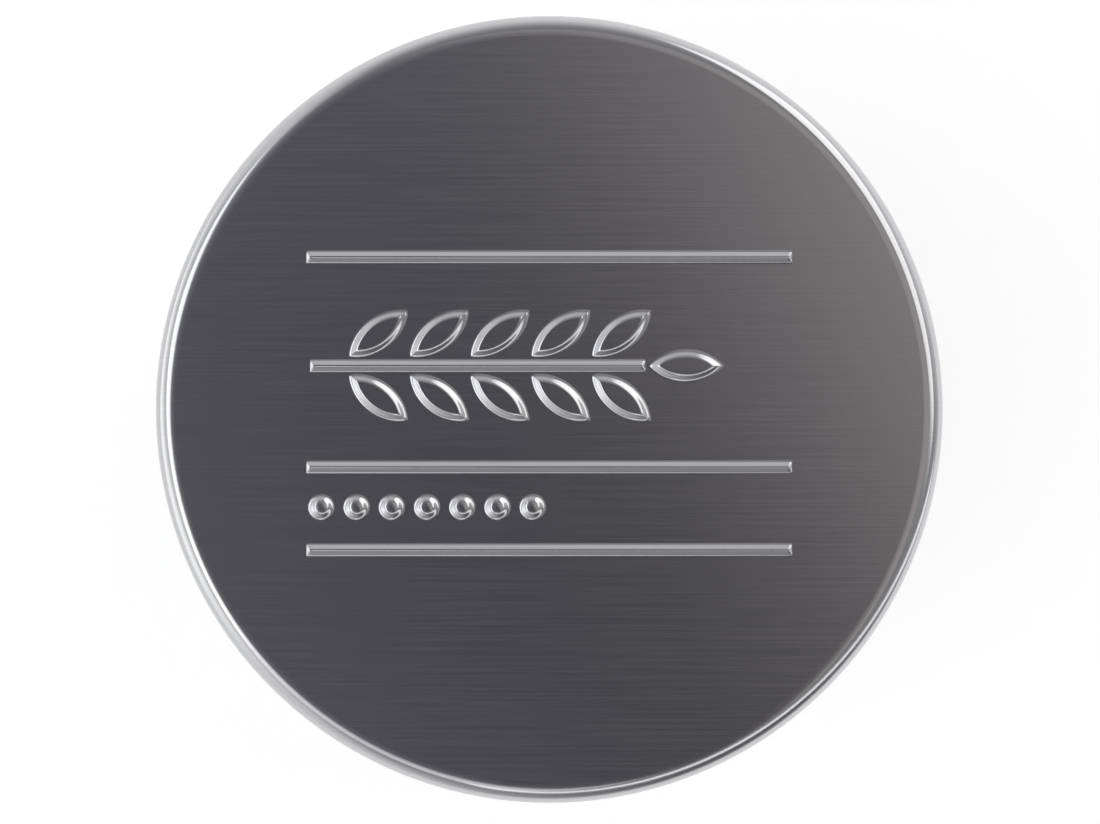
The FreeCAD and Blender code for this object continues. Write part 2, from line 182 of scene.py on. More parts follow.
def place_copy(target, shape, place):
    """Adds a moved copy of one bmesh to another."""
    mesh = bpy.data.meshes.new("copy")
    shape.to_mesh(mesh)
    mesh.transform(place)
    target.from_mesh(mesh)
    bpy.data.meshes.remove(mesh)


def at_level(edge, height):
    """Whether an edge lies at one height."""
    return all(abs(vert.co.z - height * MM) < NEAR for vert in edge.verts)


def fill_level(bm, height):
    """Fills the sheet between all the open outlines at one height, and leaves their insides."""
    edges = [edge for edge in bm.edges if edge.is_boundary and at_level(edge, height)]
    bmesh.ops.triangle_fill(bm, edges=edges, use_beauty=True, normal=(0, 0, 1))
    bmesh.ops.recalc_face_normals(bm, faces=bm.faces[:])
    return len(edges)


print(f"outlines within {NEAR / MM:.3f} mm of a level belong to its sheet")

# %% Putting a piece in its place
SHARP_ANGLE = 35.0


def finish_piece(bm, name, material, node, body):
    """Makes a mesh object of a bmesh, puts it in a node's place and lets it ride on a body."""
    mesh = bpy.data.meshes.new(name)
    bm.to_mesh(mesh)
    bm.free()
    mesh.shade_smooth()
    mesh.set_sharp_from_angle(angle=math.radians(SHARP_ANGLE))
    mesh.materials.append(material)
    piece = bpy.data.objects.new(name, mesh)
    scene.collection.objects.link(piece)
    weighted = piece.modifiers.new("even_normals", "WEIGHTED_NORMAL")
    weighted.keep_sharp = True
    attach(piece, body)
    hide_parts(node)
    low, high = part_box(node)
    heights = [corner[2] / MM for corner in piece.bound_box]
    print(f"{name}: {len(mesh.polygons)} faces, z {min(heights):.2f} to {max(heights):.2f} mm "
          f"(solid {low[2] / MM:.2f} to {high[2] / MM:.2f})")


print(f"edges that bend by more than {SHARP_ANGLE:.0f} degrees stay sharp")

# %% [markdown]
# ## Shared finishes
#
# Two effects are needed by several materials. Moulded plastic and silicone have a fine spark-eroded
# grain from their mould, and everything that is handled has soft patches where the shine differs.
# Both could be copied into each material. Here they are built once, as one node group, and placed
# in each material with its own scale and strength.

# %% Helpers for nodes
def noise(tree, vector, scale, detail=2.0, roughness=0.5):
    """A noise texture read at a vector."""
    node = tree.nodes.new("ShaderNodeTexNoise")
    node.inputs["Scale"].default_value = scale
    node.inputs["Detail"].default_value = detail
    node.inputs["Roughness"].default_value = roughness
    tree.links.new(vector, node.inputs["Vector"])
    return node.outputs["Fac"]


def remap(tree, value, low, high, to_low=0.0, to_high=1.0):
    """Maps a value from one range to another and keeps it inside."""
    node = tree.nodes.new("ShaderNodeMapRange")
    ends = {"From Min": low, "From Max": high, "To Min": to_low, "To Max": to_high}
    for label, number in ends.items():
        node.inputs[label].default_value = number
    tree.links.new(value, node.inputs["Value"])
    return node.outputs["Result"]


def arithmetic(tree, operation, first, second):
    """One math node; each side is a socket or a number."""
    node = tree.nodes.new("ShaderNodeMath")
    node.operation = operation
    for index, side in enumerate((first, second)):
        if isinstance(side, (int, float)):
            node.inputs[index].default_value = side
        else:
            tree.links.new(side, node.inputs[index])
    return node.outputs["Value"]


def blend(tree, factor, first, second):
    """Blends two sides by a value that changes; each side is a socket or a plain colour."""
    node = tree.nodes.new("ShaderNodeMix")
    node.data_type = "RGBA"
    tree.links.new(factor, node.inputs["Factor"])
    for label, side in (("A", first), ("B", second)):
        if isinstance(side, tuple):
            node.inputs[label].default_value = (*side, 1.0)
        else:
            tree.links.new(side, node.inputs[label])
    return node.outputs["Result"]


print("node helpers: noise, remap, arithmetic, blend")

# %% Mould grain
MOTTLE_PER_METRE = 180.0
MOULD_LAYERS = (
    ("Grain", "Grain per metre", 6000.0, 2.0),
    ("Mottle", "Mottle per metre", MOTTLE_PER_METRE, 4.0),
)


def build_mould_grain():
    """A group with the height of a fine grain and a slow mottling, from Object coordinates."""
    group = bpy.data.node_groups.new("mould_grain", "ShaderNodeTree")
    sockets = group.interface
    for label, scale_label, scale, _ in MOULD_LAYERS:
        socket = sockets.new_socket(scale_label, in_out="INPUT", socket_type="NodeSocketFloat")
        socket.default_value = scale
        sockets.new_socket(label, in_out="OUTPUT", socket_type="NodeSocketFloat")
    inside = group.nodes.new("NodeGroupInput")
    outside = group.nodes.new("NodeGroupOutput")
    place = group.nodes.new("ShaderNodeTexCoord").outputs["Object"]
    for label, scale_label, _, detail in MOULD_LAYERS:
        texture = group.nodes.new("ShaderNodeTexNoise")
        texture.inputs["Detail"].default_value = detail
        group.links.new(place, texture.inputs["Vector"])
        group.links.new(inside.outputs[scale_label], texture.inputs["Scale"])
        group.links.new(texture.outputs["Fac"], outside.inputs[label])
    return group


mould_grain = build_mould_grain()
print("node groups:", [group.name for group in bpy.data.node_groups])

# %% Moulded materials
NOISE_SPAN = (0.3, 0.7)
GRAIN_DEPTH = 0.02


def new_material(name):
    """A material with a node tree and its Principled shader."""
    material = bpy.data.materials.new(name)
    material.use_nodes = True
    return material, material.node_tree, material.node_tree.nodes["Principled BSDF"]


def add_bump(tree, shader, height, strength, depth):
    """Feeds a height into the shader's normal."""
    bump = tree.nodes.new("ShaderNodeBump")
    bump.inputs["Strength"].default_value = strength
    bump.inputs["Distance"].default_value = depth * MM
    tree.links.new(height, bump.inputs["Height"])
    tree.links.new(bump.outputs["Normal"], shader.inputs["Normal"])


def moulded_material(name, tones, roughness, grain_strength, mottle=MOTTLE_PER_METRE):
    """Plastic or silicone from a mould: slight mottling in colour and shine, and a fine grain."""
    material, tree, shader = new_material(name)
    grain = tree.nodes.new("ShaderNodeGroup")
    grain.node_tree = mould_grain
    grain.inputs["Mottle per metre"].default_value = mottle
    patches = grain.outputs["Mottle"]
    colour = blend(tree, remap(tree, patches, *NOISE_SPAN), *tones)
    tree.links.new(colour, shader.inputs["Base Color"])
    tree.links.new(remap(tree, patches, *NOISE_SPAN, *roughness), shader.inputs["Roughness"])
    add_bump(tree, shader, grain.outputs["Grain"], grain_strength, GRAIN_DEPTH)
    return material, shader


print("mould grain: up to", GRAIN_DEPTH, "mm deep")

# %% [markdown]
# ## Brushed steel
#
# The sheet is brushed in one direction before the press draws it into a cap, and the cap's side is
# then brushed round on a lathe. The fine scratches smear a reflection across themselves and keep it
# crisp along themselves, so the lid looks dark and even on top, while its edge is sharp on the left
# and right and soft at the front and back. A noise texture alone would only look streaky. The
# shader's anisotropy gives the smear, and it needs a direction: the lid carries a UV map whose
# first axis follows the brushing, along X on top and round the axis on the side. The scratches
# themselves are noise that is drawn out along the same ways.

# %% Scratches
HAIRS_PER_METRE = 6000.0
HAIR_DETAIL, HAIR_ROUGHNESS = 3.0, 0.6
BANDS_PER_METRE = 720.0
BAND_SHARE = 0.15
TOP_BRUSH = (0.012, 1.0, 0.0)
SIDE_BRUSH = (0.012, 0.012, 1.0)


def scratches(tree, place, stretch):
    """Fine hairs and slow bands, both drawn out along the brushing."""
    mapping = tree.nodes.new("ShaderNodeMapping")
    mapping.inputs["Scale"].default_value = stretch
    tree.links.new(place, mapping.inputs["Vector"])
    drawn = mapping.outputs["Vector"]
    hair = noise(tree, drawn, HAIRS_PER_METRE, HAIR_DETAIL, HAIR_ROUGHNESS)
    band = noise(tree, drawn, BANDS_PER_METRE)
    return arithmetic(tree, "ADD", arithmetic(tree, "MULTIPLY", hair, 1 - BAND_SHARE),
                      arithmetic(tree, "MULTIPLY", band, BAND_SHARE))


print(f"a scratch is about {1 / TOP_BRUSH[0]:.0f} times as long as it is wide")

# %% Steel
LID_TOP = 73.2
LID_CORNER = 1.32
BRUSH_CHANGE = 0.1
TOP_ROUGHNESS = (0.13, 0.15)
SIDE_ROUGHNESS = (0.24, 0.30)
STEEL_TONES = ((0.520, 0.523, 0.543), (0.560, 0.561, 0.577))
SMEAR = 0.8
ACROSS_THE_BRUSHING = 0.25
SCRATCH_STRENGTH, SCRATCH_DEPTH = 0.09, 0.01


def build_brushed_steel():
    """Steel whose tone, shine and scratches follow the brushing on the top and on the side."""
    material, tree, shader = new_material("brushed_steel")
    place = tree.nodes.new("ShaderNodeTexCoord").outputs["Object"]
    split = tree.nodes.new("ShaderNodeSeparateXYZ")
    tree.links.new(place, split.inputs["Vector"])
    edge = LID_TOP - LID_CORNER
    on_top = remap(tree, split.outputs["Z"], (edge - BRUSH_CHANGE) * MM, (edge + BRUSH_CHANGE) * MM)
    side, top = scratches(tree, place, SIDE_BRUSH), scratches(tree, place, TOP_BRUSH)
    lines = blend(tree, on_top, side, top)
    tone = blend(tree, remap(tree, lines, *NOISE_SPAN), *STEEL_TONES)
    tree.links.new(tone, shader.inputs["Base Color"])
    shine = blend(tree, on_top, remap(tree, side, *NOISE_SPAN, *SIDE_ROUGHNESS),
                  remap(tree, top, *NOISE_SPAN, *TOP_ROUGHNESS))
    tree.links.new(shine, shader.inputs["Roughness"])
    shader.inputs["Metallic"].default_value = 1.0
    shader.inputs["Anisotropic"].default_value = SMEAR
    shader.inputs["Anisotropic Rotation"].default_value = ACROSS_THE_BRUSHING
    along = tree.nodes.new("ShaderNodeTangent")
    along.direction_type = "UV_MAP"
    along.uv_map = "brushing"
    tree.links.new(along.outputs["Tangent"], shader.inputs["Tangent"])
    add_bump(tree, shader, lines, SCRATCH_STRENGTH, SCRATCH_DEPTH)
    return material


brushed_steel = build_brushed_steel()
print("steel:", len(brushed_steel.node_tree.nodes), "nodes")

# %% [markdown]
# ## The embossed pattern
#
# The press pushes the pattern up from below: three long lines, a leaf sprig and a row of dots. Each
# mark could be a bump in the material, but its edges are what catch the light, so they are real
# shape. A mark is a stack of outlines. Each is drawn a little further in than the one below and
# lifted. On leaves and dots it is lifted slowly at first, faster in the middle and slowly again,
# which gives the soft S-shaped wall of pressed sheet. The lines are nearly plain roofs with steeper
# ends. A flat collar round each mark keeps the metal beside it truly flat.

# %% Raising a mark
EMBOSS_HEIGHT = 0.28
COLLAR = 0.12
WALL_STEPS = 9


def wall_levels(wall, ease):
    """How far in and how high each outline lies: an ease of 1 is an S-shaped wall, 0 a slope."""
    levels = [(-COLLAR, 0.0)]
    for step in range(WALL_STEPS + 1):
        share = step / WALL_STEPS
        soft = share * share * (3 - 2 * share)
        levels.append((wall * share, EMBOSS_HEIGHT * (share + ease * (soft - share))))
    return levels


def raise_mark(bm, half_size, wall, ease=1.0):
    """Extrudes an outline that is centred on the origin in and up its wall, and closes the top."""
    levels = wall_levels(wall, ease)
    outline = bm.edges[:]
    for (last_inset, last_height), (inset, height) in zip(levels, levels[1:]):
        made = bmesh.ops.extrude_edge_only(bm, edges=outline)["geom"]
        corners = [item for item in made if isinstance(item, bmesh.types.BMVert)]
        outline = [edge for edge in bm.edges if all(vert in corners for vert in edge.verts)]
        before, after = half_size(last_inset), half_size(inset)
        bmesh.ops.scale(bm, vec=(after[0] / before[0], after[1] / before[1], 1), verts=corners)
        bmesh.ops.translate(bm, vec=(0, 0, (height - last_height) * MM), verts=corners)
    bmesh.ops.contextual_create(bm, geom=outline)
    return bm


print(f"marks stand {EMBOSS_HEIGHT} mm high, on walls of {WALL_STEPS} steps")

# %% Lines
RIDGE_WIDTH = 0.92
RIDGE_CREST = 0.1
RIDGE_EASE = 0.12
RIDGE_END = 0.65
RIDGE_CORNER, RIDGE_CORNER_STEPS = 0.22, 3


def ridge_mark(length):
    """A long straight line along X, from a square that is drawn out and rounded."""
    def half_size(inset):
        return length / 2 - RIDGE_END * inset, RIDGE_WIDTH / 2 - inset

    bm = bmesh.new()
    bmesh.ops.create_circle(bm, cap_ends=False, radius=math.sqrt(2), segments=4)
    straight = Matrix.Rotation(math.pi / 4, 3, "Z")
    bmesh.ops.rotate(bm, verts=bm.verts, cent=(0, 0, 0), matrix=straight)
    along, across = half_size(-COLLAR)
    bmesh.ops.scale(bm, vec=(along * MM, across * MM, 1), verts=bm.verts)
    bmesh.ops.bevel(
        bm, geom=bm.verts[:], offset=RIDGE_CORNER * MM, offset_type="OFFSET",
        segments=RIDGE_CORNER_STEPS, profile=0.5, affect="VERTICES", clamp_overlap=False,
        material=-1,
    )
    return raise_mark(bm, half_size, (RIDGE_WIDTH - RIDGE_CREST) / 2, RIDGE_EASE)


print(f"lines: {RIDGE_WIDTH} mm wide, {RIDGE_CREST} mm on the crest")

# %% Leaves and dots
LEAF_LENGTH = 6.1
LEAF_WIDTH = 2.6
LEAF_STEPS = 24
DOT_RADIUS = 1.05
DOT_STEPS = 40
SOFT_WALL = 0.62


def leaf_mark():
    """A pointed leaf along X: two arcs, each spun from one of its ends."""
    bulge = LEAF_WIDTH / 2
    bend = (LEAF_LENGTH ** 2 / 4 + bulge ** 2) / (2 * bulge)
    drop = bend - bulge

    def half_size(inset):
        return math.sqrt((bend - inset) ** 2 - drop ** 2), bulge - inset

    bm = bmesh.new()
    half = half_size(-COLLAR)[0]
    sweep = 2 * math.acos(drop / (bend + COLLAR))
    for side in (1, -1):
        end = bm.verts.new((-side * half * MM, 0, 0))
        bmesh.ops.spin(
            bm, geom=[end], cent=(0, -side * drop * MM, 0), axis=(0, 0, 1), dvec=(0, 0, 0),
            angle=-sweep, steps=LEAF_STEPS, use_merge=False, use_duplicate=False,
        )
    bmesh.ops.remove_doubles(bm, verts=bm.verts[:], dist=TINY)
    return raise_mark(bm, half_size, SOFT_WALL)


def dot_mark():
    """A round dot."""
    def half_size(inset):
        return DOT_RADIUS - inset, DOT_RADIUS - inset

    bm = bmesh.new()
    outer = half_size(-COLLAR)[0] * MM
    bmesh.ops.create_circle(bm, cap_ends=False, radius=outer, segments=DOT_STEPS)
    return raise_mark(bm, half_size, SOFT_WALL)


print(f"leaves: {LEAF_LENGTH} by {LEAF_WIDTH} mm, dots: {2 * DOT_RADIUS} mm across")

# %% Laying out the pattern
RULE_LENGTH = 40.0
RULE_LINES = (12.56, -4.75, -11.57)
SPRIG_LEFT = -19.7
SPRIG_LINE = 3.6
STEM_LENGTH = 27.6
LEAF_FIRST = 3.2
LEAF_PITCH = 5.0
LEAF_PAIRS = 5
LEAF_ANGLE = math.radians(38.0)
LEAF_GAP = 0.3
DOT_FIRST = -18.8
DOT_LINE = -8.05
DOT_PITCH = 2.9
DOT_COUNT = 7


def place_mark(target, mark, root, turned=0.0, reach=0.0):
    """Copies a mark to the lid: moved out along X by its reach, turned, and put at its root."""
    place_copy(target, mark, (
        Matrix.Translation((root[0] * MM, root[1] * MM, LID_TOP * MM))
        @ Matrix.Rotation(turned, 4, "Z")
        @ Matrix.Translation((reach * MM, 0, 0))
    ))


def build_marks(target):
    """Puts every mark of the pattern on the lid's top plane."""
    rule = ridge_mark(RULE_LENGTH)
    for line in RULE_LINES:
        place_mark(target, rule, (0.0, line))
    stem = ridge_mark(STEM_LENGTH)
    place_mark(target, stem, (SPRIG_LEFT, SPRIG_LINE), reach=STEM_LENGTH / 2)
    leaf = leaf_mark()
    beside = RIDGE_WIDTH / 2 + LEAF_GAP
    for pair in range(LEAF_PAIRS):
        across = SPRIG_LEFT + LEAF_FIRST + pair * LEAF_PITCH
        for side in (1, -1):
            root = (across, SPRIG_LINE + side * beside)
            place_mark(target, leaf, root, side * LEAF_ANGLE, LEAF_LENGTH / 2)
    stem_end = SPRIG_LEFT + STEM_LENGTH + LEAF_GAP
    place_mark(target, leaf, (stem_end, SPRIG_LINE), reach=LEAF_LENGTH / 2)
    dot = dot_mark()
    for step in range(DOT_COUNT):
        place_mark(target, dot, (DOT_FIRST + step * DOT_PITCH, DOT_LINE))


print(f"pattern: {len(RULE_LINES)} lines, {2 * LEAF_PAIRS + 1} leaves, {DOT_COUNT} dots")

# %% [markdown]
# ## The steel cap
#
# One sheet: a flat top that falls off a hair before its small round shoulder, as drawn sheet does,
# a straight side, and a hem turned in at the bottom that holds the liner. The section is turned
# like the other pieces, but it is left open on top. The marks are laid in the opening, and the
# plain metal between them and the shoulder is filled as one flat sheet with holes. A boolean could
# join marks and sheet too, but it would leave ragged faces. The UV map says which way the brushing
# runs.

# %% Brushing direction
SIDE_TILT = 0.1


def brushing_uv(bm):
    """A UV map: as seen from above on top, and unrolled round the axis on the side."""
    layer = bm.loops.layers.uv.new("brushing")
    for face in bm.faces:
        centre = face.calc_center_median()
        on_side = abs(face.normal.z) < SIDE_TILT
        middle = math.atan2(centre.y, centre.x)
        for loop in face.loops:
            x, y, z = loop.vert.co / MM
            if on_side:
                turned = math.remainder(math.atan2(y, x) - middle, math.tau)
                x, y = (middle + turned) * LID_R, z
            loop[layer].uv = (x, y)


print(f"faces within {math.degrees(math.asin(SIDE_TILT)):.0f} degrees of upright are side")

# %% Cap
SHEET = 0.5
LID_BOTTOM = 52.6
HEM_R = 31.0
HEM_ROUND, HEM_EDGE, HEM_ROOT = 0.45, 0.2, 0.3
FLAT_R = 30.0
BEND_R = 31.0
BEND_DROP = 0.065
BEND_ROUND = 8.0


def build_cap():
    """The drawn sheet, its marks and the flat between them, as one skin."""
    inner_r = LID_R - SHEET
    inner_top = LID_TOP - SHEET
    hem_top = LID_BOTTOM + SHEET
    bm = turn(section([
        (FLAT_R, LID_TOP, 0),
        (BEND_R, LID_TOP, BEND_ROUND),
        (LID_R, LID_TOP - BEND_DROP, LID_CORNER),
        (LID_R, LID_BOTTOM, HEM_ROUND),
        (HEM_R, LID_BOTTOM, HEM_EDGE),
        (HEM_R, hem_top, HEM_EDGE),
        (inner_r, hem_top, HEM_ROOT),
        (inner_r, inner_top, LID_CORNER - SHEET),
        (0, inner_top, 0),
    ]))
    build_marks(bm)
    joined = fill_level(bm, LID_TOP)
    left_open = sum(edge.is_boundary for edge in bm.edges)
    print(f"cap sheet: {joined} edges joined, {left_open} left open")
    brushing_uv(bm)
    return bm


finish_piece(build_cap(), "steel_cap", brushed_steel, "lid_cap", "lid")

# %% [markdown]
# ## The liner
#
# A moulded plate and sleeve inside the steel. The sleeve slides over the glass neck, and sixteen
# ribs reach out from it to the steel, as moulders do it to keep walls thin. The ribs could be
# boxes pushed into the sleeve, but then they would overlap it. Here every twelfth column of faces
# of the turned sleeve is drawn outwards, so that sleeve, ribs and plate are one skin.

# %% Ribs
LINER_R = 31.8
PLATE_UNDER = 71.3
SLEEVE_R = 29.6
RIBS = 16
COLUMNS_PER_RIB = 12
RIB_EDGE, RIB_EDGE_STEPS = 0.2, 3
SHORTEST_UPRIGHT = 10.0
ON_SLEEVE = 0.05
FACING_OUT = 0.1
TOUCH = 0.01


def polar(point):
    """A point's distance from the axis in millimetres, and its angle."""
    return math.hypot(point.x, point.y) / MM, math.atan2(point.y, point.x) % math.tau


def under_plate(point):
    """Whether a point lies on the plate's lower face."""
    return abs(point.z / MM - PLATE_UNDER) < TOUCH


def rib_faces(bm):
    """The sleeve's faces that become ribs, and the plate's faces that the ribs will cover."""
    columns = RIBS * COLUMNS_PER_RIB
    chosen, covered = [], []
    for face in bm.faces:
        centre = face.calc_center_median()
        radius, angle = polar(centre)
        if int(angle / math.tau * columns) % COLUMNS_PER_RIB:
            continue
        if abs(radius - SLEEVE_R) < ON_SLEEVE and face.normal.z < FACING_OUT:
            chosen.append(face)
        elif SLEEVE_R < radius < LINER_R and under_plate(centre):
            covered.append(face)
    return chosen, covered


def add_ribs(bm):
    """Draws every twelfth column of the sleeve out to the plate's edge."""
    chosen, covered = rib_faces(bm)
    bmesh.ops.delete(bm, geom=covered, context="FACES_ONLY")
    drawn = bmesh.ops.extrude_discrete_faces(bm, faces=chosen)["faces"]
    corners = list({vert for face in drawn for vert in face.verts})
    bmesh.ops.scale(bm, vec=(LINER_R / SLEEVE_R, LINER_R / SLEEVE_R, 1), verts=corners)
    ends = {face for vert in corners for face in vert.link_faces
            if all(under_plate(corner.co) for corner in face.verts)}
    bmesh.ops.delete(bm, geom=list(ends), context="FACES_ONLY")
    wires = [edge for edge in bm.edges if edge.is_wire]
    bmesh.ops.delete(bm, geom=wires, context="EDGES")
    bmesh.ops.remove_doubles(bm, verts=bm.verts[:], dist=NEAR)
    upright = [edge for edge in bm.edges if edge.calc_length() > SHORTEST_UPRIGHT * MM
               and all(polar(vert.co)[0] > LINER_R - TOUCH for vert in edge.verts)]
    bmesh.ops.bevel(
        bm, geom=upright, offset=RIB_EDGE * MM, offset_type="OFFSET", segments=RIB_EDGE_STEPS,
        profile=0.5, affect="EDGES", clamp_overlap=True, material=-1,
    )
    unclosed = sum(not edge.is_manifold for edge in bm.edges)
    print(f"ribs: {len(chosen)}, edges not closed {unclosed}")


print(f"a rib every {360 / RIBS} degrees")

# %% Liner
LINER_LOW = 53.2
LINER_TOP = 72.6
BORE_R = 28.4
SLEEVE_LEAD = 0.5
BORE_ROUND, LEAD_ROUND, LIP_ROUND, PLATE_ROUND = 0.4, 0.2, 0.15, 0.9
GREY_TONES = ((0.28, 0.29, 0.30), (0.315, 0.325, 0.335))
GREY_ROUGHNESS = (0.40, 0.50)
GREY_GRAIN = 0.25


def build_liner():
    """The turned plate and sleeve with its ribs, turned so that a rib's middle lies on X."""
    columns = RIBS * COLUMNS_PER_RIB
    bm = turn(section([
        (0, PLATE_UNDER, 0),
        (BORE_R, PLATE_UNDER, BORE_ROUND),
        (BORE_R, LINER_LOW + SLEEVE_LEAD, LEAD_ROUND),
        (BORE_R + SLEEVE_LEAD, LINER_LOW, LIP_ROUND),
        (SLEEVE_R, LINER_LOW, 0),
        (SLEEVE_R, PLATE_UNDER, 0),
        (LINER_R, PLATE_UNDER, 0),
        (LINER_R, LINER_TOP, PLATE_ROUND),
        (0, LINER_TOP, 0),
    ]), segments=columns)
    add_ribs(bm)
    half_column = Matrix.Rotation(-math.pi / columns, 3, "Z")
    bmesh.ops.rotate(bm, verts=bm.verts, cent=(0, 0, 0), matrix=half_column)
    return bm


grey_plastic, _ = moulded_material("grey_plastic", GREY_TONES, GREY_ROUGHNESS, GREY_GRAIN)
finish_piece(build_liner(), "liner_moulding", grey_plastic, "lid_liner", "lid")

# %% [markdown]
# ## The sealing disc
#
# A soft disc punched from sheet lies under the liner's plate and shuts the sifter's holes. Such
# sheet is pressed with rings so that it gives way evenly. They could be bump in the material, but
# they show when the lid is lifted and seen from below, so they are shallow grooves in the section.

# %% Sealing disc
WAD_R = 28.2
WAD_LOW = 69.8
WAD_LOW_ROUND, WAD_TOP_ROUND = 0.3, 0.2
GROOVE_MIDDLES = (6.0, 12.0, 18.0, 24.0)
GROOVE_WIDE, GROOVE_DEEP, GROOVE_ROUND = 1.4, 0.25, 0.15
GROOVE_SHAPE = ((-0.5, 0.0), (-0.25, 1.0), (0.25, 1.0), (0.5, 0.0))
SEAL_TONES = ((0.76, 0.76, 0.73), (0.83, 0.83, 0.80))
SEAL_ROUGHNESS = (0.52, 0.66)
SEAL_GRAIN = 0.4
SEAL_MOTTLE = 90.0


def build_wad():
    """A disc with ring grooves on its lower face."""
    corners = [(0, WAD_LOW, 0)]
    for middle in GROOVE_MIDDLES:
        for across, up in GROOVE_SHAPE:
            place = (middle + across * GROOVE_WIDE, WAD_LOW + up * GROOVE_DEEP)
            corners.append((*place, GROOVE_ROUND))
    corners += [
        (WAD_R, WAD_LOW, WAD_LOW_ROUND),
        (WAD_R, PLATE_UNDER, WAD_TOP_ROUND),
        (0, PLATE_UNDER, 0),
    ]
    return turn(section(corners), SMALL_SEGMENTS)


seal_sheet, _ = moulded_material("seal_sheet", SEAL_TONES, SEAL_ROUGHNESS, SEAL_GRAIN, SEAL_MOTTLE)
finish_piece(build_wad(), "seal_disc", seal_sheet, "lid_wad", "lid")

# %% [markdown]
# ## The sifter
#
# A moulded plug: a plate with nineteen holes, a flange that sits on the glass rim, and a skirt with
# two grip beads. The holes could be cut with booleans, which leave ragged faces and sharp edges.
# Here each hole is a small turned wall with rounded edges. The walls stand in the open plate, and
# the flat sheet round them is filled above and below. The fingernail notch is a stretch of
# the flange's lower edge that is pushed up.

# %% Sifter's holes
PLATE_LOW = 68.1
PLATE_TOP = 69.7
HOLE_R = 1.7
HOLE_EDGE = 0.4
HOLE_TOP_ROUND, HOLE_LOW_ROUND = 0.35, 0.25
HOLE_SEGMENTS = 40
HOLE_RINGS = ((1, 0.0), (6, 7.38), (12, 14.76))


def add_holes(bm):
    """Stands the walls of all holes between the plate's two faces."""
    wall = turn(section([
        (HOLE_R + HOLE_EDGE, PLATE_TOP, 0),
        (HOLE_R, PLATE_TOP, HOLE_TOP_ROUND),
        (HOLE_R, PLATE_LOW, HOLE_LOW_ROUND),
        (HOLE_R + HOLE_EDGE, PLATE_LOW, 0),
    ]), HOLE_SEGMENTS)
    for count, radius in HOLE_RINGS:
        out = Matrix.Translation((radius * MM, 0, 0))
        for step in range(count):
            place_copy(bm, wall, Matrix.Rotation(math.tau * step / count, 4, "Z") @ out)


print("holes:", sum(count for count, _ in HOLE_RINGS))

# %% Sifter
FLANGE_R = 27.2
FLANGE_EDGE = 1.2
FLANGE_TOP_ROUND, FLANGE_LOW_ROUND = 0.5, 0.3
SKIRT_R = 24.3
SKIRT_IN = 23.1
SKIRT_LOW = 60.0
SKIRT_ROOT, SKIRT_OUT_ROUND, SKIRT_IN_ROUND, SKIRT_IN_ROOT = 0.25, 0.45, 0.35, 0.6
SKIRT_EDGE = 1.0
BEADS = (65.33, 62.67)
BEAD_HALF, BEAD_RISE, BEAD_ROUND = 0.4, 0.2, 0.2
NOTCH_HALF = 4.5
NOTCH_REACH = 1.4
NOTCH_RISE = 0.7
NOTCH_BAND = 0.35
NOTCH_STEP = 0.1
WHITE_TONES = ((0.82, 0.82, 0.79), (0.865, 0.865, 0.835))
WHITE_ROUGHNESS = (0.36, 0.46)
WHITE_GRAIN = 0.2


def push_notch(bm):
    """Pushes up the flange's lower edge where a fingernail lifts it."""
    moved = [vert for vert in bm.verts
             if abs(vert.co.x) < NOTCH_HALF * MM and vert.co.y < 0
             and polar(vert.co)[0] > FLANGE_R - NOTCH_REACH
             and vert.co.z < (PLATE_LOW + NOTCH_BAND) * MM]
    bmesh.ops.translate(bm, vec=(0, 0, NOTCH_RISE * MM), verts=moved)
    return len(moved)


def build_sifter():
    """Flange and skirt in one turn, then the notch, the holes and the plate round them."""
    notch_end = FLANGE_R - NOTCH_REACH
    corners = [
        (FLANGE_R - FLANGE_EDGE, PLATE_TOP, 0),
        (FLANGE_R, PLATE_TOP, FLANGE_TOP_ROUND),
        (FLANGE_R, PLATE_LOW, FLANGE_LOW_ROUND),
        (notch_end + NOTCH_STEP, PLATE_LOW, 0),
        (notch_end - NOTCH_STEP, PLATE_LOW, 0),
        (SKIRT_R, PLATE_LOW, SKIRT_ROOT),
    ]
    for bead in BEADS:
        for out, up in ((0.0, BEAD_HALF), (BEAD_RISE, 0.0), (0.0, -BEAD_HALF)):
            corners.append((SKIRT_R + out, bead + up, BEAD_ROUND))
    corners += [
        (SKIRT_R, SKIRT_LOW, SKIRT_OUT_ROUND),
        (SKIRT_IN, SKIRT_LOW, SKIRT_IN_ROUND),
        (SKIRT_IN, PLATE_LOW, SKIRT_IN_ROOT),
        (SKIRT_IN - SKIRT_EDGE, PLATE_LOW, 0),
    ]
    bm = turn(section(corners), SMALL_SEGMENTS)
    pushed = push_notch(bm)
    add_holes(bm)
    fill_level(bm, PLATE_TOP)
    fill_level(bm, PLATE_LOW)
    left_open = sum(edge.is_boundary for edge in bm.edges)
    print(f"sifter: {pushed} points in the notch, {left_open} edges left open")
    return bm


white_plastic, _ = moulded_material("white_plastic", WHITE_TONES, WHITE_ROUGHNESS, WHITE_GRAIN)
finish_piece(build_sifter(), "sifter_plug", white_plastic, "sifter", "sifter")

# %% [markdown]
# ## The silicone ring
#
# It sits in a groove of the neck, and its three drooping lips hold the lid by friction. Three
# separate rings could stand for the lips, but the real ring is one moulding, so it is one closed
# section turned round the axis. The lips' edges are rounded, since a moulded silicone edge is never
# sharp. Silicone lets some light in under its skin, so its shader has a little subsurface.

